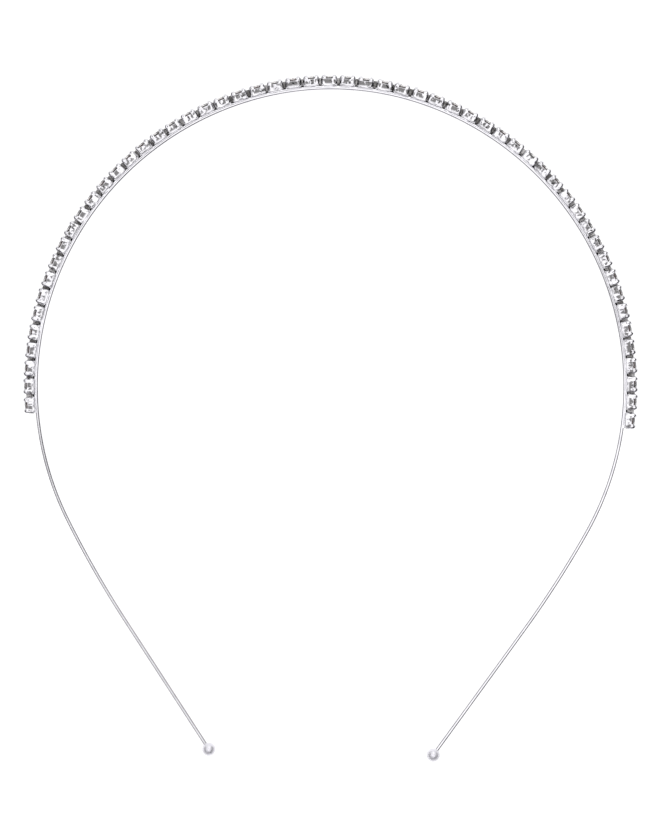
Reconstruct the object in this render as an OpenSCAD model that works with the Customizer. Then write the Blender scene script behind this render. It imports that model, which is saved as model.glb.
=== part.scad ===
// Crystal headband: a springy wire hoop with one row of claw-set stones along its crown.
// The hoop lies flat, its crown towards +Y, and rests on the flat sides of its cups.

/* [Wire] */
// Diameter of the wire
wire_d = 0.9; // [0.7:0.05:1.2]
// Bend radius of the wire's middle line over the crown
crown_r = 63; // [58:0.5:68]
// Turn of the crown's bend, from the middle to one side, in degrees
crown_turn = 15; // [10:0.5:20]
// Bend radius along each side of the head
side_r = 67; // [62:0.5:72]
// Turn of the side's bend, in degrees
side_turn = 103; // [98:0.5:106]
// Bend radius where a leg straightens out
leg_r = 230; // [180:5:280]
// Turn of the leg's bend, in degrees
leg_turn = 6.5; // [4:0.5:8]
// Straight end of a leg, up to the middle of its ball
tail_len = 34.3; // [30:0.1:40]

/* [Cup chain] */
// Number of cups on each side of the middle
cups_per_side = 28; // [20:1:28]
// Distance from cup to cup along the wire's middle line
cup_pitch = 4; // [3.95:0.05:4.2]
// Length and width of a square cup
cup_w = 3.7; // [3.6:0.05:3.75]
// Height of a cup's walls
wall_h = 1.65; // [1.6:0.05:1.8]
// Chamfer round the foot of a cup
foot_chamfer = 0.5; // [0.4:0.05:0.55]
// Radius that rounds the cup's upright corners, from its middle
corner_r = 2.25; // [2.2:0.05:2.35]
// Width of a claw
claw_w = 1.7; // [1.3:0.05:1.8]
// Height of the claws above the walls
claw_h = 0.78; // [0.76:0.02:0.84]
// Distance from the cup's middle at which its claws end
claw_reach_r = 1.15; // [1.1:0.05:1.25]
// Thickness of the link between two cups
link_t = 0.45; // [0.35:0.05:0.55]
// Width of the link
link_w = 1.1; // [0.8:0.1:1.4]
// Thickness of the web that closes the gap around a link
web_t = 0.6; // [0.4:0.1:0.8]
// Width of the solder seam under the cups
seam_w = 1; // [0.7:0.05:1.2]

/* [Stones] */
// Diameter of a stone at its girdle
stone_d = 3; // [2.9:0.05:3.05]
// Diameter of the flat table
table_d = 1.7; // [1.5:0.1:1.8]
// Height of the crown, from the girdle to the table
stone_crown = 0.5; // [0.44:0.02:0.52]
// Thickness of the girdle
girdle_t = 0.12; // [0.08:0.02:0.14]
// Depth of the pointed back under the girdle
stone_back = 1.2; // [1:0.05:1.25]

/* [Ball tips] */
// Diameter of a ball
ball_d = 3; // [2.6:0.1:3.3]

/* [Hidden] */
$fn = 48;

// Each bend of one side, from the middle of the crown to the leg: radius, turn
bends = [[crown_r, crown_turn], [side_r, side_turn], [leg_r, leg_turn]];
RADIUS = 0;
TURN = 1;

// Heights above the wire's middle line, along a cup's own axis
foot_y = 0.42;
floor_t = 0.3;
seam_foot = 0.1;
seam_top = 0.5;
link_y = foot_y + wall_h / 2;
wall_top = foot_y + wall_h;
claw_top = wall_top + claw_h;
girdle_rise = 0.08;
girdle_y = wall_top + girdle_rise;
table_y = girdle_y + girdle_t + stone_crown;

// Gaps between pieces
stone_gap = 0.1;
ball_gap = 0.05;

// A claw's shell: how far it stands inside the corner and starts below the rim,
// and how far its shoulder and its top are bevelled
claw_inset = 0.05;
claw_root = 0.2;
shoulder_in = 0.35;
shoulder_down = 0.18;
crest_in = 0.75;

// How far a cutting shape passes the claws' tops
past = 1;

// How far a link and its web reach into the cups' walls
link_bite = 0.1;

// Each stretch of wire starts a little inside the one before, a hair thinner, so that the two join
lap = 0.4;
thinner = 0.01;

// Sides of a stone's table and of its point; its girdle has twice as many
table_sides = 8;

mid_z = cup_w / 2;
half_chain = cups_per_side * cup_pitch - (cup_pitch - cup_w) / 2;
crown_len = crown_r * crown_turn * PI / 180;
seam_turn = (half_chain - crown_len) / side_r * 180 / PI;

// Where a bend starts: its heading, clockwise from +X, and its point
function heading(i) = i == 0 ? 0 : heading(i - 1) + bends[i - 1][TURN];
function step(i, turn) =
    bends[i][RADIUS] * [sin(heading(i) + turn) - sin(heading(i)), cos(heading(i) + turn) - cos(heading(i))];
function start(i) = i == 0 ? [0, 0] : start(i - 1) + step(i - 1, bends[i - 1][TURN]);
function centre(i) = start(i) - bends[i][RADIUS] * [sin(heading(i)), cos(heading(i))];

// The point at a distance along the crown or the side, and the heading there
function turn_at(d) =
    d < crown_len ? [0, d / crown_r * 180 / PI] : [1, (d - crown_len) / side_r * 180 / PI];
function point_at(d) = let (t = turn_at(d)) start(t[0]) + step(t[0], t[1]);
function heading_at(d) = let (t = turn_at(d)) heading(t[0]) + t[1];

// Middle of the right-hand ball, and the lift that brings the hoop's middle to the origin
tail_heading = heading(3);
ball_at = start(3) + tail_len * [cos(tail_heading), -sin(tail_heading)];
lift_y = -(claw_top + ball_at[1] - ball_d / 2) / 2;

module on_floor() translate([0, lift_y, mid_z]) children();

module both_sides() {
    children();
    mirror([1, 0, 0]) children();
}

// Carries a flat profile round one bend; the crown's bend runs as far to the other side
module sweep(i, turn) {
    back = i == 0 ? turn : lap / bends[i][RADIUS] * 180 / PI;
    translate(centre(i)) rotate(90 - heading(i) - turn)
        rotate_extrude(angle = turn + back)
            translate([bends[i][RADIUS], 0]) scale(1 - i * thinner) children();
}

// Stands children on the wire at a distance from the middle, +Y outwards
module stand_at(d) translate(point_at(d)) rotate(-heading_at(d)) children();

// Lays children along the tail, +Z towards the ball, the origin at the ball's middle
module at_ball() translate(ball_at) rotate(-tail_heading) rotate([0, 90, 0]) children();

module wire() {
    sweep(0, crown_turn) circle(d = wire_d);
    both_sides() {
        for (i = [1, 2]) sweep(i, bends[i][TURN]) circle(d = wire_d);
        at_ball() translate([0, 0, -tail_len - lap])
            cylinder(d = wire_d * (1 - 3 * thinner), h = tail_len + lap);
    }
}

module seam_outline() translate([seam_foot, -seam_w / 2]) square([seam_top - seam_foot, seam_w]);

module solder_seam() {
    sweep(0, crown_turn) seam_outline();
    both_sides() sweep(1, seam_turn) seam_outline();
}

// A cup's side outline up to its claws: a box whose foot is chamfered
module cup_outline() {
    polygon([
        [foot_chamfer - mid_z, foot_y], [mid_z - foot_chamfer, foot_y],
        [mid_z, foot_y + foot_chamfer], [mid_z, claw_top],
        [-mid_z, claw_top], [-mid_z, foot_y + foot_chamfer],
    ]);
}

module turned() rotate([-90, 0, 0]) rotate_extrude() children();

// Room for the stone: a coned pocket, a bore round the girdle, a cone over the crown,
// and a round opening that the claws' ends stop at
module seat_room() {
    room_r = stone_d / 2 + stone_gap;
    pocket_r = 0.7;
    pocket_h = 0.7;
    over_y = girdle_y + girdle_t + stone_gap;
    crown_slope = stone_crown / (stone_d / 2 - table_d / 2);
    turned() polygon([
        [0, foot_y + floor_t], [pocket_r, foot_y + floor_t],
        [room_r, foot_y + floor_t + pocket_h], [room_r, over_y],
        [claw_reach_r, over_y + (room_r - claw_reach_r) * crown_slope],
        [claw_reach_r, claw_top + past], [0, claw_top + past],
    ]);
}

// The shell that the four claws are cut from, leaning in over the stone's edge
module claw_shell() {
    outer_r = corner_r - claw_inset;
    root_y = wall_top - claw_root;
    lean_y = girdle_y + girdle_t;
    turned() polygon([
        [0, root_y], [outer_r, root_y], [outer_r, lean_y],
        [outer_r - shoulder_in, claw_top - shoulder_down], [outer_r - crest_in, claw_top], [0, claw_top],
    ]);
}

module claw_bars() {
    for (a = [45, -45])
        rotate([0, a, 0]) translate([-corner_r, 0, -claw_w / 2])
            cube([2 * corner_r, claw_top + past, claw_w]);
}

module cup() {
    difference() {
        intersection() {
            linear_extrude(cup_w, center = true) cup_outline();
            rotate([0, 90, 0]) linear_extrude(cup_w, center = true) cup_outline();
            union() {
                turned() square([corner_r, wall_top]);
                intersection() {
                    claw_shell();
                    claw_bars();
                }
            }
        }
        seat_room();
    }
}

function gap_at(y) = cup_pitch * (1 + y / crown_r) - cup_w;

// The bar between two cups, in a thin web of solder that closes the gap from their feet to their rims
module link() {
    translate([0, link_y, 0]) cube([gap_at(link_y) + 2 * link_bite, link_t, link_w], center = true);
    foot_x = gap_at(foot_y) / 2 + foot_chamfer + link_bite;
    wall_x = gap_at(wall_top) / 2 + link_bite;
    web_top = wall_top - link_bite;
    linear_extrude(web_t, center = true) polygon([
        [-foot_x, foot_y], [foot_x, foot_y],
        [foot_x, foot_y + link_bite], [wall_x, foot_y + foot_chamfer],
        [wall_x, web_top], [-wall_x, web_top],
        [-wall_x, foot_y + foot_chamfer], [-foot_x, foot_y + link_bite],
    ]);
}

module stone() {
    edge = 0.01;
    point_d = 0.2;
    rotate([-90, 0, 0]) hull() {
        translate([0, 0, table_y - edge]) rotate(180 / table_sides)
            cylinder(d = table_d, h = edge, $fn = table_sides);
        translate([0, 0, girdle_y]) rotate(90 / table_sides)
            cylinder(d = stone_d, h = girdle_t, $fn = 2 * table_sides);
        translate([0, 0, girdle_y - stone_back]) cylinder(d = point_d, h = edge, $fn = table_sides);
    }
}

// Wire, seam, cups and links are soldered together, so they are one solid
module band() color("silver") on_floor() {
    wire();
    solder_seam();
    stand_at(0) link();
    both_sides() {
        for (k = [0 : cups_per_side - 1]) stand_at((k + 0.5) * cup_pitch) cup();
        for (k = [1 : cups_per_side - 1]) stand_at(k * cup_pitch) link();
    }
}

module crystals() color("aliceblue") on_floor() both_sides() {
    for (k = [0 : cups_per_side - 1]) stand_at((k + 0.5) * cup_pitch) stone();
}

// A drilled ball: the wire ends in its middle
module ball_tip() {
    color("gainsboro") on_floor() difference() {
        translate(ball_at) sphere(d = ball_d);
        at_ball() translate([0, 0, -ball_d]) cylinder(r = wire_d / 2 + ball_gap, h = ball_d + 2 * ball_gap);
    }
}

module ball_tip_right() ball_tip();

module ball_tip_left() mirror([1, 0, 0]) ball_tip();

band();
crystals();
ball_tip_left();
ball_tip_right();
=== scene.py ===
import math
import random

import bmesh
import bpy
from bmesh.types import BMEdge, BMFace, BMVert
from mathutils import Matrix, Vector, noise


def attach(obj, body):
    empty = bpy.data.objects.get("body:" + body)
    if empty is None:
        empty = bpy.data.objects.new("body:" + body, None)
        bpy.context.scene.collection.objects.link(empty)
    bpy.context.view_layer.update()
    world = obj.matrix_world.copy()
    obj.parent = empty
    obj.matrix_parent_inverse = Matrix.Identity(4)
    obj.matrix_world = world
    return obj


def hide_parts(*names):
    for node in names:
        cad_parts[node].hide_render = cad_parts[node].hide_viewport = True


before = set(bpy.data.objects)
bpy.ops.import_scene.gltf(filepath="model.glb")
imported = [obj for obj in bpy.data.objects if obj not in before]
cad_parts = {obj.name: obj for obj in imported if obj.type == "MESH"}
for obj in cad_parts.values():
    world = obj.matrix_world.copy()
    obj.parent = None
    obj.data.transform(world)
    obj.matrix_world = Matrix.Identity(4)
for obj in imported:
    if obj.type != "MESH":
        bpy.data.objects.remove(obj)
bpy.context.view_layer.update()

scene = bpy.context.scene
mm = 0.001  # metres
quarter = math.radians(90)
print("frame loaded:", ", ".join(sorted(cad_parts)))


# The hoop's path

hoop = {  # millimetres and degrees, from the middle of the crown down one side
    "bends": [(63, 15), (67, 103), (230, 6.5)],  # radius and turn of the crown, the side and the leg
    "tail": 34.3,  # straight end, up to the middle of its ball
    "wire": 0.9,
    "ball": 3,
    "cups": 28,  # on each side
    "pitch": 4,
    "width": 3.7,
    "top": 2.85,  # where the solids' claws end, above the wire's middle line
}
bendCount = len(hoop["bends"])


def radiusOf(bend):
    return hoop["bends"][bend][0]


def turnOf(bend):
    return math.radians(hoop["bends"][bend][1])


def headingOf(bend):  # clockwise from +X, where a bend starts
    return sum(turnOf(earlier) for earlier in range(bend))


def wayAlong(bend, turn):
    start = headingOf(bend)
    way = Vector((math.sin(start + turn) - math.sin(start), math.cos(start + turn) - math.cos(start), 0))
    return way * radiusOf(bend)


def startOf(bend):
    if bend == 0:
        return Vector((0, 0, 0))
    return startOf(bend - 1) + wayAlong(bend - 1, turnOf(bend - 1))


def centreOf(bend):
    heading = headingOf(bend)
    return startOf(bend) - Vector((math.sin(heading), math.cos(heading), 0)) * radiusOf(bend)


def standAt(distance):  # stands a piece on the wire, +Y outwards and +X along it; below 0 is the left side
    bend = 0
    rest = abs(distance)
    while rest > radiusOf(bend) * turnOf(bend):
        rest -= radiusOf(bend) * turnOf(bend)
        bend += 1
    turn = rest / radiusOf(bend)
    place = startOf(bend) + wayAlong(bend, turn)
    side = -1 if distance < 0 else 1
    place.x *= side
    return Matrix.Translation(place) @ Matrix.Rotation(-side * (headingOf(bend) + turn), 4, "Z")


tailHeading = headingOf(bendCount)
tailWay = Vector((math.cos(tailHeading), -math.sin(tailHeading), 0))
ballPlace = startOf(bendCount) + tailWay * hoop["tail"]
lift = -(hoop["top"] + ballPlace.y - hoop["ball"] / 2) / 2  # brings the hoop's middle to the origin
toRow = Matrix.Scale(mm, 4) @ Matrix.Translation((0, lift, hoop["width"] / 2))


# Shader helpers

class Signal:  # wraps a node's output, so that shader values add and multiply like numbers
    def __init__(self, finish, socket):
        self.finish = finish
        self.socket = socket

    def combine(self, operation, first, second):
        return self.finish.node("Math", {"operation": operation}, {0: first, 1: second})

    def __add__(self, other):
        return self.combine("ADD", self, other)

    def __radd__(self, other):
        return self.combine("ADD", other, self)

    def __sub__(self, other):
        return self.combine("SUBTRACT", self, other)

    def __rsub__(self, other):
        return self.combine("SUBTRACT", other, self)

    def __mul__(self, other):
        return self.combine("MULTIPLY", self, other)

    def __rmul__(self, other):
        return self.combine("MULTIPLY", other, self)

    def __truediv__(self, other):
        return self.combine("DIVIDE", self, other)

    def __pow__(self, other):
        return self.combine("POWER", self, other)

    def __abs__(self):
        return self.finish.node("Math", {"operation": "ABSOLUTE"}, {0: self})


class Finish:  # the node tree of a material or of the world
    def __init__(self, owner):
        owner.use_nodes = True
        self.owner = owner
        self.tree = owner.node_tree
        self.tree.nodes.clear()

    def node(self, kind, settings=None, values=None, output=0):  # values may be links
        made = self.tree.nodes.new("ShaderNode" + kind)
        for name, value in (settings or {}).items():
            setattr(made, name, value)
        for name, value in (values or {}).items():
            if isinstance(value, Signal):
                self.tree.links.new(value.socket, made.inputs[name])
            else:
                made.inputs[name].default_value = value
        if made.outputs:
            return Signal(self, made.outputs[output])

    def parts(self, vector):  # its X, Y and Z
        made = self.node("SeparateXYZ", {}, {"Vector": vector}).socket.node
        return [Signal(self, made.outputs[axis]) for axis in "XYZ"]

    def between(self, value, low, high):  # 0 at low, 1 at high, smooth between
        settings = {"interpolation_type": "SMOOTHSTEP"}
        return self.node("MapRange", settings, {"Value": value, "From Min": low, "From Max": high}, "Result")

    def mixColour(self, share, first, second):  # a Mix node's colours are its sockets 6 and 7, the result 2
        return self.node("Mix", {"data_type": "RGBA"}, {0: share, 6: first, 7: second}, 2)

    def millimetres(self):  # object coordinates in millimetres
        place = self.node("TexCoord", output="Object")
        return self.node("Mapping", {}, {"Vector": place, "Scale": (1 / mm, 1 / mm, 1 / mm)})

    def grain(self, place, size, detail=2, roughness=0.5):  # noise whose blotches are about size mm
        values = {"Vector": place, "Scale": 1 / size, "Detail": detail, "Roughness": roughness}
        return self.node("TexNoise", {}, values)

    def patches(self, place, look):  # where a look turns from its first colour to its second
        share = self.grain(place, look["patch"], look["patchDetail"])
        return self.between(share, *look["patchReach"]) if "patchReach" in look else share


def newFinish(name):
    return Finish(bpy.data.materials.new(name))


def closeFinish(finish, values):  # adds the shader and gives the material
    shader = finish.node("BsdfPrincipled", {}, values)
    finish.node("OutputMaterial", {}, {"Surface": shader})
    return finish.owner


# Materials, with the sizes of their patches, grain and dents in millimetres

plate = {
    "colours": ((0.73, 0.725, 0.74, 1), (0.65, 0.645, 0.665, 1)),
    "patch": 2.4,
    "patchDetail": 3,
    "patchReach": (0.4, 0.75),
    "rough": 0.06,
    "roughSpread": 0.1,
    "grain": 0.25,
    "grainDetail": 3,
    "grainReach": (0.4, 0.8),
    "wireDents": (6, 0.02),  # size and depth of what drawing leaves in the wire
    "cupDents": (0.8, 0.05),  # and of what stamping leaves in the cups
    "dentRoughness": 0.4,
}

# painted reflection: dark streaks in the cups' colour that stand in for dark reflections, strongest in a
# wall's middle and on the crown
paintedReflection = {
    "colour": (0.06, 0.058, 0.055, 1),
    "most": 0.85,
    "stretch": (1.8, 0.8, 1.8),  # finer along a wall than up it
    "reach": (0.5, 0.6),
    "middle": 0.1,  # how much more painted reflection a wall's middle gets
    "aside": (0.2, 1.1),  # distances from the middle over which that fades
    "foot": (0.6, 1.1),  # heights over which the painted reflection begins
    "top": (1.7, 2.0),  # and fade again
    "crown": 0.06,  # how much more painted reflection the crown's cups get
    "crownFrom": (66, 74),  # places in Y over which that begins
}


def paintedReflectionShare(finish, place):  # painted reflection: dark streaks on the walls that stand in for reflections of the dark studio, in each cup's own coordinates
    cupPlace = finish.node("Attribute", {"attribute_name": "cupPlace"}, output="Vector")
    aside, height = finish.parts(cupPlace)[:2]
    stretched = finish.node("Mapping", {}, {"Vector": cupPlace, "Scale": paintedReflection["stretch"]})
    streak = finish.grain(stretched, 1)
    streak = streak + paintedReflection["middle"] * (1 - finish.between(abs(aside), *paintedReflection["aside"]))
    streak = streak + paintedReflection["crown"] * finish.between(finish.parts(place)[1], *paintedReflection["crownFrom"])
    share = paintedReflection["most"] * finish.between(streak, *paintedReflection["reach"])
    return share * finish.between(height, *paintedReflection["foot"]) * (1 - finish.between(height, *paintedReflection["top"]))


def makePlate(name, dents, reflectionPainted=False):
    finish = newFinish(name)
    place = finish.millimetres()
    colour = finish.mixColour(finish.patches(place, plate), *plate["colours"])
    # painted reflection: dark streaks mixed into the plate's colour
    if reflectionPainted:
        colour = finish.mixColour(paintedReflectionShare(finish, place), colour, paintedReflection["colour"])
    grain = finish.grain(place, plate["grain"], plate["grainDetail"])
    rough = plate["rough"] + plate["roughSpread"] * finish.between(grain, *plate["grainReach"])
    size, depth = dents
    dented = finish.grain(place, size, 1, plate["dentRoughness"])
    bump = finish.node("Bump", {}, {"Height": dented, "Distance": depth * mm, "Strength": 1})
    return closeFinish(finish, {"Base Color": colour, "Metallic": 1, "Roughness": rough, "Normal": bump})


solderLook = {
    "colours": ((0.96, 0.955, 0.975, 1), (0.9, 0.89, 0.925, 1)),
    "patch": 1.3,
    "patchDetail": 3,
    "patchReach": (0.45, 0.7),
    "rough": 0.28,
    "roughSpread": 0.15,
    "grain": 0.2,
    "grainDepth": 0.012,
    "grainStrength": 0.5,
}


def makeSolder():
    finish = newFinish("solder")
    place = finish.millimetres()
    colour = finish.mixColour(finish.patches(place, solderLook), *solderLook["colours"])
    cloud = finish.grain(place, solderLook["patch"], solderLook["patchDetail"])
    rough = solderLook["rough"] + solderLook["roughSpread"] * cloud
    height = {"Height": finish.grain(place, solderLook["grain"]), "Distance": solderLook["grainDepth"] * mm}
    bump = finish.node("Bump", {}, {**height, "Strength": solderLook["grainStrength"]})
    return closeFinish(finish, {"Base Color": colour, "Metallic": 1, "Roughness": rough, "Normal": bump})


# painted shade: dark and pale patches for the webs and links deep in the gaps between the cups
paintedGapShadeLook = {
    "colours": ((0.12, 0.115, 0.11, 1), (0.7, 0.69, 0.68, 1)),
    "patch": 1.6,
    "patchDetail": 3,
    "patchReach": (0.42, 0.7),
    "metal": 0.6,
    "rough": 0.3,
    "roughSpread": 0.2,
}


def makePaintedGapShade():  # painted shade: a dark sheet deep between the cups, standing in for the shade in the gaps
    finish = newFinish("paintedGapShade")
    patches = finish.patches(finish.millimetres(), paintedGapShadeLook)
    colour = finish.mixColour(patches, *paintedGapShadeLook["colours"])
    rough = paintedGapShadeLook["rough"] + paintedGapShadeLook["roughSpread"] * patches
    return closeFinish(finish, {"Base Color": colour, "Metallic": paintedGapShadeLook["metal"], "Roughness": rough})


lacquerLook = {
    "colours": ((0.07, 0.035, 0.03, 1), (0.035, 0.035, 0.03, 1)),
    "patch": 2.5,
    "patchDetail": 2,
    "patchReach": (0.35, 0.65),
    "rough": 0.3,
}


def makeLacquer():  # the brown edge of the coating on a stone's back
    finish = newFinish("lacquer")
    patches = finish.patches(finish.millimetres(), lacquerLook)
    colour = finish.mixColour(patches, *lacquerLook["colours"])
    return closeFinish(finish, {"Base Color": colour, "Roughness": lacquerLook["rough"]})


crystalLook = {
    "colours": ((1, 0.98, 0.97, 1), (0.97, 0.99, 1, 1)),
    "patch": 5,
    "patchDetail": 1,
    "clear": 0.92,
    "ior": 1.58,
}


def makeCrystal():
    finish = newFinish("clearCrystal")
    patches = finish.patches(finish.millimetres(), crystalLook)
    values = {
        "Base Color": finish.mixColour(patches, *crystalLook["colours"]),
        "Roughness": 0,
        "IOR": crystalLook["ior"],
        "Transmission Weight": crystalLook["clear"],
    }
    return closeFinish(finish, values)


foilLook = {
    "colours": ((0.92, 0.90, 0.89, 1), (0.78, 0.74, 0.73, 1)),
    "patch": 1.5,
    "patchDetail": 2,
    "patchReach": (0.35, 0.65),
    "rough": 0.1,
}


def makeFoil():
    finish = newFinish("mirrorFoil")
    patches = finish.patches(finish.millimetres(), foilLook)
    colour = finish.mixColour(patches, *foilLook["colours"])
    return closeFinish(finish, {"Base Color": colour, "Metallic": 1, "Roughness": foilLook["rough"]})


ballLook = {
    "colours": ((0.85, 0.84, 0.88, 1), (0.78, 0.77, 0.81, 1)),
    "patch": 1.2,
    "patchDetail": 2,
    "metal": 0.55,
    "rough": 0.36,
    "roughSpread": 0.06,
    "scratch": 0.12,
    "scratchReach": (0.5, 0.8),
}


def makeBallFinish():
    finish = newFinish("polishedBall")
    place = finish.millimetres()
    colour = finish.mixColour(finish.patches(place, ballLook), *ballLook["colours"])
    scratch = finish.between(finish.grain(place, ballLook["scratch"]), *ballLook["scratchReach"])
    rough = ballLook["rough"] + ballLook["roughSpread"] * scratch
    return closeFinish(finish, {"Base Color": colour, "Metallic": ballLook["metal"], "Roughness": rough})


wirePlate = makePlate("wirePlate", plate["wireDents"])
# the cups' plate, dark in streaks with painted reflection
cupPlate = makePlate("cupPlate", plate["cupDents"], reflectionPainted=True)
solder = makeSolder()
paintedGapShade = makePaintedGapShade()
lacquer = makeLacquer()
clearCrystal = makeCrystal()
mirrorFoil = makeFoil()
polishedBall = makeBallFinish()
print("materials made")


# Mesh helpers

closeBy = 0.001  # millimetres, within which two points are one


def only(kind, parts):  # the points, edges or faces among a call's results
    return [part for part in parts if isinstance(part, kind)]


def allOf(bm):
    return bm.verts[:] + bm.edges[:] + bm.faces[:]


def edgesAlong(bm, axis):  # a box's edges that run along an axis
    return [edge for edge in bm.edges if abs(edge.verts[0].co[axis] - edge.verts[1].co[axis]) > closeBy]


def roundEdges(bm, edges, offset, segments, clamped=False):
    bmesh.ops.bevel(
        bm, geom=edges, offset=offset, segments=segments, profile=0.5,
        affect="EDGES", material=-1, clamp_overlap=clamped,
    )


def sweepBend(bm, ring, bend, turn, stepLength):  # carries a ring of edges round a bend
    steps = round(radiusOf(bend) * turn / stepLength)
    made = bmesh.ops.spin(bm, geom=ring, cent=centreOf(bend), axis=(0, 0, 1), angle=-turn, steps=steps)
    return made["geom_last"]


def mirrorSide(bm):  # adds the left side, joined to the right one
    bmesh.ops.mirror(bm, geom=allOf(bm), axis="X", merge_dist=closeBy)
    bmesh.ops.remove_doubles(bm, verts=bm.verts, dist=closeBy)
    bmesh.ops.recalc_face_normals(bm, faces=bm.faces)


def openOutwards(bm):  # turns what opens towards +Z, so that it opens towards +Y
    bmesh.ops.rotate(bm, cent=(0, 0, 0), matrix=Matrix.Rotation(-quarter, 3, "X"), verts=bm.verts)


def addMesh(bm, source):  # adds a copy of a mesh and gives its points
    known = len(bm.verts)
    bm.from_mesh(source)
    bm.verts.ensure_lookup_table()
    return bm.verts[known:]


def toMesh(name, bm):
    mesh = bpy.data.meshes.new(name)
    bm.to_mesh(mesh)
    bm.free()
    return mesh


def makePiece(name, bm, finishes, nodes, sharpAngle=40):
    bmesh.ops.transform(bm, matrix=toRow, verts=bm.verts)
    mesh = toMesh(name, bm)
    for finish in finishes:
        mesh.materials.append(finish)
    mesh.polygons.foreach_set("use_smooth", [True] * len(mesh.polygons))
    mesh.set_sharp_from_angle(angle=math.radians(sharpAngle))
    piece = bpy.data.objects.new(name, mesh)
    scene.collection.objects.link(piece)
    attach(piece, "root")
    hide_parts(*nodes)
    triangles = sum(len(face.vertices) - 2 for face in mesh.polygons)
    print(name, "made,", triangles, "triangles")


# Wire

wire = {"sides": 20, "step": 1.6}  # step is the distance between two rings of points


def buildWire():
    bm = bmesh.new()
    upright = Matrix.Rotation(quarter, 4, "Y")
    bmesh.ops.create_circle(bm, segments=wire["sides"], radius=hoop["wire"] / 2, matrix=upright)
    ring = allOf(bm)
    for bend in range(bendCount):
        ring = sweepBend(bm, ring, bend, turnOf(bend), wire["step"])
    tail = bmesh.ops.extrude_edge_only(bm, edges=only(BMEdge, ring))["geom"]
    bmesh.ops.translate(bm, verts=only(BMVert, tail), vec=tailWay * hoop["tail"])
    bmesh.ops.contextual_create(bm, geom=[edge for edge in only(BMEdge, tail) if edge.is_boundary])
    mirrorSide(bm)
    makePiece("hoop_wire", bm, [wirePlate], ["band"])


buildWire()


# Solder seam

seam = {
    "sides": 8,
    "step": 0.4,
    "middle": 0.27,  # above the wire's middle line
    "height": 0.32,
    "halfWidth": 0.54,
    "lump": 0.06,
    "lumpSize": 1.3,
    "finer": 2,  # how many times smaller and lower the lumps on a lump are
}


def buildSeam():
    bm = bmesh.new()
    size = Matrix.Diagonal((1, seam["height"], seam["halfWidth"], 1))
    shape = Matrix.Translation((0, seam["middle"], 0)) @ size
    shape = shape @ Matrix.Rotation(quarter, 4, "Y") @ Matrix.Rotation(math.pi / seam["sides"], 4, "Z")
    bmesh.ops.create_circle(bm, segments=seam["sides"], radius=1, matrix=shape)
    halfChain = hoop["cups"] * hoop["pitch"] - (hoop["pitch"] - hoop["width"]) / 2
    ring = sweepBend(bm, allOf(bm), 0, turnOf(0), seam["step"])
    ring = sweepBend(bm, ring, 1, (halfChain - radiusOf(0) * turnOf(0)) / radiusOf(1), seam["step"])
    bmesh.ops.contextual_create(bm, geom=only(BMEdge, ring))
    mirrorSide(bm)
    bm.normal_update()
    for vert in bm.verts:
        coarse = noise.noise(vert.co / seam["lumpSize"])
        fine = noise.noise(vert.co * seam["finer"] / seam["lumpSize"]) / seam["finer"]
        vert.co += vert.normal * (coarse + fine) * seam["lump"]
    makePiece("solder_seam", bm, [solder], ["band"], sharpAngle=60)


buildSeam()


# Cup chain

cup = {
    "foot": 0.42,  # above the wire's middle line
    "wall": 1.5,  # how high its walls are
    "cornerRound": 0.66,
    "cornerSteps": 5,
    "footRound": 0.28,
    "footSteps": 2,
    "footNarrow": 0.87,  # along the wire
    "sheet": 0.3,  # how thick the metal is
    "pocket": 1.2,  # how deep the stone's room is
    "pocketNarrow": 0.5,  # its floor against its mouth
    "clawFrom": 0.74,  # a claw takes the rim beyond this distance from both middle planes
    "clawBends": [  # lean in degrees, length and taper
        (3, 0.34, 0.97),
        (18, 0.2, 0.92),
        (48, 0.2, 0.86),
        (80, 0.44, 0.72),
    ],
    "edgeRound": 0.08,
    "edgeSteps": 2,
    "edgeFrom": 38,  # degrees that an edge turns, above which it is rounded
    "columns": (0.2, 0.4),  # cuts of a wall, from its middle
    "rows": (0.95, 1.35, 1.75),  # and above the wire's middle line
    "seed": 7,
    "tilt": 2.5,  # degrees, at most
    "tiltHeight": 1.3,  # of the point that a cup tilts about
    "stray": 0.1,  # how far at most a cup stands off its place along the wire
    "slim": 0.94,  # across the hoop, which makes room for the tilt
}

dent = {
    "depth": 0.22,
    "size": (0.7, 1.6),  # along a wall and up it, so that most dents are upright creases
    "inwards": 0.15,  # how much more the walls are pressed in than out
    "cornerGap": 0.05,  # how far inside the cup's width a point still counts as on a wall
    "rimGap": 0.1,  # how far below the rim the dents end
    "cupStep": 3.7,  # between two cups' places in the noise
    "wallStep": 0.4,  # and between a cup's two pairs of walls
    "paintedReflectionStep": 5,  # between two cups' painted reflections
}

link = {"thick": 0.45, "wide": 1.1, "height": 1.245, "round": 0.16, "roundSteps": 3, "bite": 0.1}


def gapAt(height):
    return hoop["pitch"] * (1 + height / radiusOf(0)) - hoop["width"]


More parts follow.
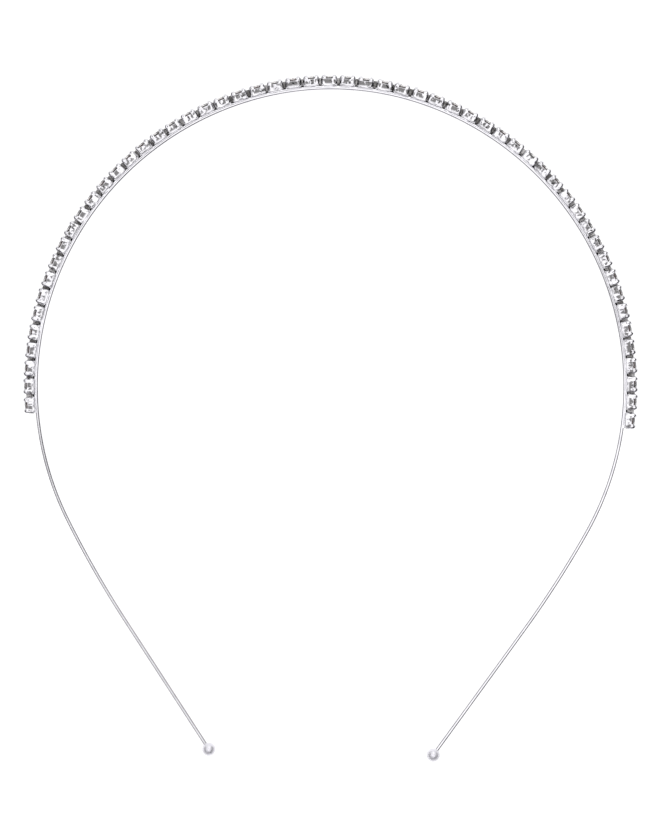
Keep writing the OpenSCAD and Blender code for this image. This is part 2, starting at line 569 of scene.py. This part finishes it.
def buildCup():  # built upwards on the origin, and turned outwards at the end
    bm = bmesh.new()
    place = Matrix.Translation((0, 0, cup["foot"] + cup["wall"] / 2))
    size = Matrix.Diagonal((hoop["width"], hoop["width"], cup["wall"], 1))
    bmesh.ops.create_cube(bm, size=1, matrix=place @ size)
    roundEdges(bm, edgesAlong(bm, 2), cup["cornerRound"], cup["cornerSteps"])
    low = cup["foot"] + closeBy
    footEdges = [edge for edge in bm.edges if all(vert.co.z < low for vert in edge.verts)]
    roundEdges(bm, footEdges, cup["footRound"], cup["footSteps"])
    footVerts = [vert for vert in bm.verts if vert.co.z < cup["foot"] + cup["footRound"] / 2]
    bmesh.ops.scale(bm, verts=footVerts, vec=(cup["footNarrow"], 1, 1))
    top = max(bm.faces, key=lambda face: face.calc_center_median().z)
    rimHeight = top.calc_center_median().z
    sinkPocket(bm, top)
    cuts = [(0, 0, height) for height in cup["rows"]]
    for aside in (*cup["columns"], cup["clawFrom"]):
        cuts += [(aside, 0, 0), (-aside, 0, 0), (0, aside, 0), (0, -aside, 0)]
    for cut in cuts:  # each plane's point is its direction too
        bmesh.ops.bisect_plane(bm, geom=allOf(bm), plane_co=cut, plane_no=cut)
    for corner in (45, 135, 225, 315):
        raiseClaw(bm, math.radians(corner), rimHeight)
    edgeFrom = math.radians(cup["edgeFrom"])
    sharp = [edge for edge in bm.edges if edge.is_manifold and edge.calc_face_angle() > edgeFrom]
    roundEdges(bm, sharp, cup["edgeRound"], cup["edgeSteps"], clamped=True)
    bmesh.ops.remove_doubles(bm, verts=bm.verts, dist=closeBy)
    openOutwards(bm)
    return toMesh("cup", bm)


def sinkPocket(bm, top):
    bmesh.ops.inset_individual(bm, faces=[top], thickness=cup["sheet"], use_even_offset=True)
    made = bmesh.ops.extrude_face_region(bm, geom=[top])
    floorVerts = only(BMVert, made["geom"])
    bmesh.ops.delete(bm, geom=[top], context="FACES_ONLY")
    bmesh.ops.translate(bm, verts=floorVerts, vec=(0, 0, -cup["pocket"]))
    bmesh.ops.scale(bm, verts=floorVerts, vec=(cup["pocketNarrow"], cup["pocketNarrow"], 1))


def raiseClaw(bm, angle, rimHeight):  # draws the rim's corner up and bends it in over the stone
    upward = Vector((0, 0, 1))
    outward = Vector((math.cos(angle), math.sin(angle), 0))
    across = upward.cross(outward)
    faces = []
    for face in bm.faces:
        middle = face.calc_center_median()
        onRim = abs(middle.z - rimHeight) < closeBy
        inCorner = middle.dot(outward) > 0 and abs(middle.dot(across)) < cup["clawFrom"]
        if onRim and inCorner and min(abs(middle.x), abs(middle.y)) > cup["clawFrom"]:
            faces.append(face)
    lean = 0
    for wanted, length, taper in cup["clawBends"]:
        made = bmesh.ops.extrude_face_region(bm, geom=faces)
        bmesh.ops.delete(bm, geom=faces, context="FACES_ONLY")
        faces = only(BMFace, made["geom"])
        verts = only(BMVert, made["geom"])
        middle = sum((vert.co for vert in verts), Vector()) / len(verts)
        turned = Matrix.Rotation(math.radians(lean - wanted), 3, across)
        bmesh.ops.rotate(bm, cent=middle, matrix=turned, verts=verts)
        lean = wanted
        way = upward * math.cos(math.radians(lean)) - outward * math.sin(math.radians(lean))
        bmesh.ops.translate(bm, verts=verts, vec=way * length)
        for vert in verts:
            aside = (vert.co - middle).dot(across)
            vert.co -= across * aside * (1 - taper)


def buildLink():
    bm = bmesh.new()
    size = (gapAt(link["height"]) + 2 * link["bite"], link["thick"], link["wide"], 1)
    bmesh.ops.create_cube(bm, size=1, matrix=Matrix.Diagonal(size))
    roundEdges(bm, edgesAlong(bm, 0), link["round"], link["roundSteps"])
    bmesh.ops.translate(bm, verts=bm.verts, vec=(0, link["height"], 0))
    return toMesh("link", bm)


def cupPlaces():  # each cup a little tilted, and a little off its place
    draw = random.Random(cup["seed"])
    about = Matrix.Translation((0, cup["tiltHeight"], 0))
    for side in (-1, 1):
        for k in range(hoop["cups"]):
            wobble = about
            for axis in "XY":
                tilt = math.radians(draw.uniform(-cup["tilt"], cup["tilt"]))
                wobble = wobble @ Matrix.Rotation(tilt, 4, axis)
            wobble = wobble @ about.inverted()
            stray = draw.uniform(-cup["stray"], cup["stray"])
            yield standAt(side * ((k + 0.5) * hoop["pitch"] + stray)) @ wobble


def dentWalls(bm, verts, seed):  # and notes each point's own place in its cup, for the painted reflection
    ownPlace = bm.verts.layers.float_vector["cupPlace"]
    along, up = dent["size"]
    flat = hoop["width"] / 2 - dent["cornerGap"]
    rim = cup["foot"] + cup["wall"] - dent["rimGap"]
    for vert in verts:
        vert[ownPlace] = vert.co + Vector((0, 0, seed * dent["paintedReflectionStep"]))
        for axis, other in ((0, 2), (2, 0)):
            if abs(vert.co[axis]) > flat and vert.co.y < rim:
                side = 1 if vert.co[axis] > 0 else -1
                wall = seed * dent["cupStep"] + side + axis * dent["wallStep"]
                depth = noise.noise(Vector((vert.co[other] / along, vert.co.y / up, wall)))
                vert.co[axis] += side * (depth - dent["inwards"]) * dent["depth"]


def buildCups():
    bm = bmesh.new()
    bm.verts.layers.float_vector.new("cupPlace")
    cupMesh = buildCup()
    slim = Matrix.Scale(cup["slim"], 4, (0, 0, 1))
    for seed, place in enumerate(cupPlaces()):
        verts = addMesh(bm, cupMesh)
        dentWalls(bm, verts, seed)
        bmesh.ops.transform(bm, matrix=place @ slim, verts=verts)
    makePiece("cup_chain", bm, [cupPlate], ["band"], sharpAngle=50)


buildCups()


# Links, and the webs that close the gaps round them, dark with painted shade

web = {
    "thick": 0.6,
    "bite": 0.1,
    "rise": 0.3,  # above the cups' walls
    "wedge": (1 / 3, 0.9474),  # of bright solder: scale outwards, and how far its point reaches along -X
    "wedgeRise": 1 / 6,  # of its middle above the cups' feet
}


def buildWebs():
    bm = bmesh.new()
    linkMesh = buildLink()
    places = [standAt(k * hoop["pitch"]) for k in range(1 - hoop["cups"], hoop["cups"])]
    for place in places:
        bmesh.ops.transform(bm, matrix=place, verts=addMesh(bm, linkMesh))
    high = cup["wall"] + web["rise"]
    wide = gapAt(cup["foot"] + high) + 2 * web["bite"]
    wall = Matrix.Translation((0, cup["foot"] + high / 2, 0)) @ Matrix.Diagonal((wide, high, web["thick"], 1))
    wedge = Matrix.Translation((0, cup["foot"] + web["wedgeRise"], 0)) @ Matrix.Rotation(quarter, 4, "Z")
    wedge = wedge @ Matrix.Diagonal((*web["wedge"], web["thick"], 1))
    prism = {"cap_ends": True, "segments": 3, "radius1": 1, "radius2": 1, "depth": 1}
    for place in places:
        bmesh.ops.create_cube(bm, size=1, matrix=place @ wall)
        made = bmesh.ops.create_cone(bm, matrix=place @ wedge, **prism)
        for face in {face for vert in made["verts"] for face in vert.link_faces}:
            face.material_index = 1  # bright solder
    # the webs and links carry the painted shade, the wedges bright solder
    makePiece("gap_solder_and_shade", bm, [paintedGapShade, solder], ["band"], sharpAngle=30)


buildWebs()


# Stones

stone = {  # radii, and heights from the girdle's foot
    "sides": 8,
    "girdle": 1.5,
    "table": 0.85,
    "crown": 0.42,
    "edge": 0.28,
    "back": 1.2,
    "point": 0.06,
    "starReach": 1.2,
    "backReach": 0.53,
    "foot": 1.94,  # the girdle's foot above the wire's middle line
    "level": 0.1,  # a face that looks up or down less than this is the girdle's
    "seed": 8,
    "turn": 12,  # degrees a stone may be turned in its cup
}


def buildStone():  # a round brilliant, built upwards and turned outwards at the end
    bm = bmesh.new()
    sides = stone["sides"]
    half = math.radians(180 / sides)
    top = stone["edge"] + stone["crown"]
    starDrop = (stone["starReach"] * math.cos(half) - stone["table"]) * stone["crown"]
    starHeight = top - starDrop / (stone["girdle"] - stone["table"])
    backHeight = -stone["back"] * (1 - stone["backReach"] * math.cos(half) / stone["girdle"])
    rings = [  # radius, height, sides, turned
        (stone["table"], top, sides, 0),
        (stone["starReach"], starHeight, sides, half),
        (stone["girdle"], stone["edge"], 2 * sides, 0),
        (stone["girdle"], 0, 2 * sides, 0),
        (stone["backReach"], backHeight, sides, half),
        (stone["point"], -stone["back"], sides, 0),
    ]
    for radius, height, segments, turned in rings:
        place = Matrix.Translation((0, 0, height)) @ Matrix.Rotation(turned, 4, "Z")
        bmesh.ops.create_circle(bm, segments=segments, radius=radius, matrix=place)
    bmesh.ops.convex_hull(bm, input=bm.verts[:])
    bmesh.ops.recalc_face_normals(bm, faces=bm.faces)
    for face in bm.faces:
        if face.normal.z < -stone["level"]:
            face.material_index = 1  # foil
        elif face.normal.z < stone["level"]:
            face.material_index = 2  # lacquer
    openOutwards(bm)
    bmesh.ops.translate(bm, verts=bm.verts, vec=(0, stone["foot"], 0))
    return toMesh("stone", bm)


def buildStones():
    bm = bmesh.new()
    stoneMesh = buildStone()
    draw = random.Random(stone["seed"])
    for place in cupPlaces():
        turned = Matrix.Rotation(math.radians(draw.uniform(-stone["turn"], stone["turn"])), 4, "Y")
        bmesh.ops.transform(bm, matrix=place @ turned, verts=addMesh(bm, stoneMesh))
    finishes = [clearCrystal, mirrorFoil, lacquer]
    makePiece("cut_crystals", bm, finishes, ["crystals"], sharpAngle=1)


buildStones()


# Ball tips

ball = {"sides": 48, "rings": 24, "hole": 0.47, "depth": 0.8}  # the last two are the hole's radius and depth


def buildBall(side):
    bm = bmesh.new()
    place = ballPlace.copy()
    way = tailWay.copy()
    place.x *= side
    way.x *= side
    turned = way.to_track_quat("-Z", "Y").to_matrix().to_4x4()
    bmesh.ops.create_uvsphere(bm, u_segments=ball["sides"], v_segments=ball["rings"], radius=hoop["ball"] / 2)
    upper = [face for face in bm.faces if face.normal.z > 0]
    holeFaces = [face for face in upper if face.calc_center_median().xy.length < ball["hole"]]
    bmesh.ops.delete(bm, geom=holeFaces, context="FACES")
    rim = [edge for edge in bm.edges if edge.is_boundary]
    made = bmesh.ops.extrude_edge_only(bm, edges=rim)
    bmesh.ops.translate(bm, verts=only(BMVert, made["geom"]), vec=(0, 0, -ball["depth"]))
    bmesh.ops.recalc_face_normals(bm, faces=bm.faces)
    bmesh.ops.transform(bm, matrix=Matrix.Translation(place) @ turned, verts=bm.verts)
    name = "right" if side > 0 else "left"
    makePiece("ball_" + name, bm, [polishedBall], ["ball_tip_" + name], sharpAngle=50)


for side in (-1, 1):
    buildBall(side)


# Studio

studio = {  # the lengths are tangents of the angle from straight up
    "sky": (1.5, 1.49, 1.525, 1),
    "skyReach": (1.0, 1.25),  # where the ceiling ends
    "wall": (0.24, 0.235, 0.265, 1),
    "wallRight": (0.04, 0.038, 0.044, 1),
    "wallLeft": (0.14, 0.137, 0.147, 1),
    "wallTurn": (0.1, 0.4),  # directions in X and Y over which a wall turns into the next
    "wallRise": 0.25,  # how much higher the right wall and the one on the legs' side stand
    "wallBright": (1.0, 1.0, 1.02, 1),
    "brightTurn": (0.45, 0.8),  # directions in Y over which the bright wall begins
    "shapes": [  # middle, half size and brightness
        (0, 0.85, 0.6, 0.35, 1.9),
        (-0.34, 0.55, 0.16, 0.25, 0.02),
        (0.45, 0.13, 0.22, 0.08, 0.06),
        (-0.45, -0.13, 0.22, 0.08, 0.06),
    ],
    "edge": 0.05,  # half the width over which a shape fades
    "horizon": 0.02,  # the least height, so that no tangent is endless
}


def buildWorld():
    world = bpy.data.worlds.new("studio")
    scene.world = world
    finish = Finish(world)
    x, y, z = finish.parts(finish.node("TexCoord", output="Generated"))
    height = finish.node("Math", {"operation": "MAXIMUM"}, {0: z, 1: studio["horizon"]})
    across = x / height
    along = y / height
    reach = (across * across + along * along) ** 0.5
    for way in (x, 0 - y):
        reach = reach * (1 + studio["wallRise"] * finish.between(way, *studio["wallTurn"]))
    wall = finish.mixColour(finish.between(x, *studio["wallTurn"]), studio["wall"], studio["wallRight"])
    wall = finish.mixColour(finish.between(0 - x, *studio["wallTurn"]), wall, studio["wallLeft"])
    wall = finish.mixColour(finish.between(y, *studio["brightTurn"]), wall, studio["wallBright"])
    colour = finish.mixColour(finish.between(reach, *studio["skyReach"]), studio["sky"], wall)
    for atX, atY, halfX, halfY, glow in studio["shapes"]:
        inX = 1 - finish.between(abs(across - atX), halfX - studio["edge"], halfX + studio["edge"])
        inY = 1 - finish.between(abs(along - atY), halfY - studio["edge"], halfY + studio["edge"])
        colour = finish.mixColour(inX * inY, colour, (glow, glow, glow, 1))
    background = finish.node("Background", {}, {"Color": colour})
    finish.node("OutputWorld", {}, {"Surface": background})


floorLook = {
    "size": 6,  # metres
    "colours": ((0.35, 0.35, 0.355, 1), (0.33, 0.33, 0.335, 1)),
    "clouds": 3,  # to a metre
    "rough": 0.7,
    "gloss": 0.1,
    "glow": 0.93,
}


def buildFloor():
    finish = newFinish("paleFloor")
    place = finish.node("TexCoord", output="Object")
    clouds = finish.node("TexNoise", {}, {"Vector": place, "Scale": floorLook["clouds"]})
    values = {
        "Base Color": finish.mixColour(clouds, *floorLook["colours"]),
        "Roughness": floorLook["rough"],
        "Specular IOR Level": floorLook["gloss"],
        "Emission Color": (1, 1, 1, 1),
        "Emission Strength": floorLook["glow"],
    }
    bm = bmesh.new()
    bmesh.ops.create_grid(bm, x_segments=2, y_segments=2, size=floorLook["size"] / 2)
    mesh = toMesh("floor", bm)
    mesh.materials.append(closeFinish(finish, values))
    floor = bpy.data.objects.new("floor", mesh)
    scene.collection.objects.link(floor)


view = {
    "distance": 1.0,  # metres above the hoop
    "sensor": 36,
    "frame": (645, 838),  # pixels
    "pixel": 0.0002241,  # metres on the object to one pixel
    "origin": (329.8, 416.9),  # pixel where the row's origin shows
    "roll": 1.5,  # degrees the hoop is turned clockwise in the picture
}


def buildCamera():
    data = bpy.data.cameras.new("camera")
    data.sensor_width = view["sensor"]
    data.lens = view["sensor"] * view["distance"] / (view["frame"][1] * view["pixel"])
    camera = bpy.data.objects.new("camera", data)
    scene.collection.objects.link(camera)
    roll = math.radians(view["roll"])
    right = (view["frame"][0] / 2 - view["origin"][0]) * view["pixel"]
    up = (view["origin"][1] - view["frame"][1] / 2) * view["pixel"]
    offset = Vector((right, up)) @ Matrix.Rotation(-roll, 2)
    middle = hoop["width"] / 2 * mm
    camera.location = (offset.x, offset.y, view["distance"] + middle)
    camera.rotation_euler = (0, 0, roll)
    scene.camera = camera


buildWorld()
buildFloor()
buildCamera()
scene.view_settings.view_transform = "Standard"
print("studio made")
